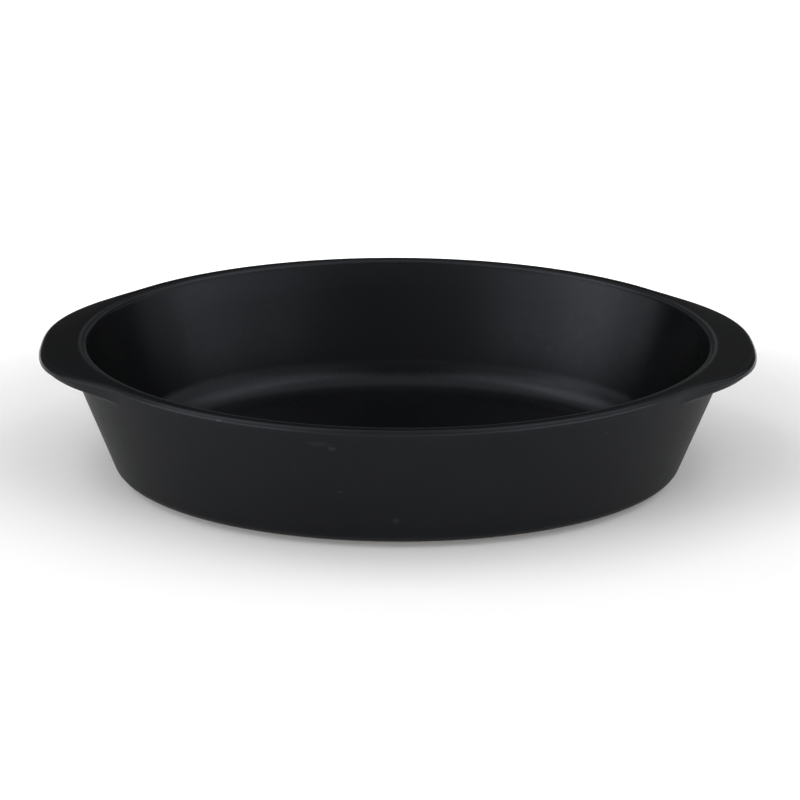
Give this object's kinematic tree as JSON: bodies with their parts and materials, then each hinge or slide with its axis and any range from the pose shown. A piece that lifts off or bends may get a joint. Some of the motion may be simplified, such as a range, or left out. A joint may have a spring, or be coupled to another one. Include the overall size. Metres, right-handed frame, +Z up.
{
  "type": "baking dish",
  "caption": "Open oval ceramic baking dish with leaning walls, a flat rim, a short lug handle at each end and a bare foot ring, glazed satin black inside and out.",
  "frame": {"origin": "middle of the foot ring's resting plane, under the centre of the oval", "axes": "+X along the long axis through both lugs, +Y across the oval, +Z up out of the open well"},
  "size_m": [0.33, 0.212, 0.0665],
  "materials": {
    "bare_stoneware": "bare fired stoneware, fine sandy grain, matt",
    "outer_glaze": "satin black glaze, faintly mottled, thinner on edges",
    "inner_glaze": "satin black glaze, smooth and slightly glossier than outside"
  },
  "bodies": {
    "root": {"stoneware_body": "bare_stoneware", "outer_glaze": "outer_glaze", "inner_glaze": "inner_glaze", "base_glaze": "outer_glaze"}
  },
  "joints": []
}
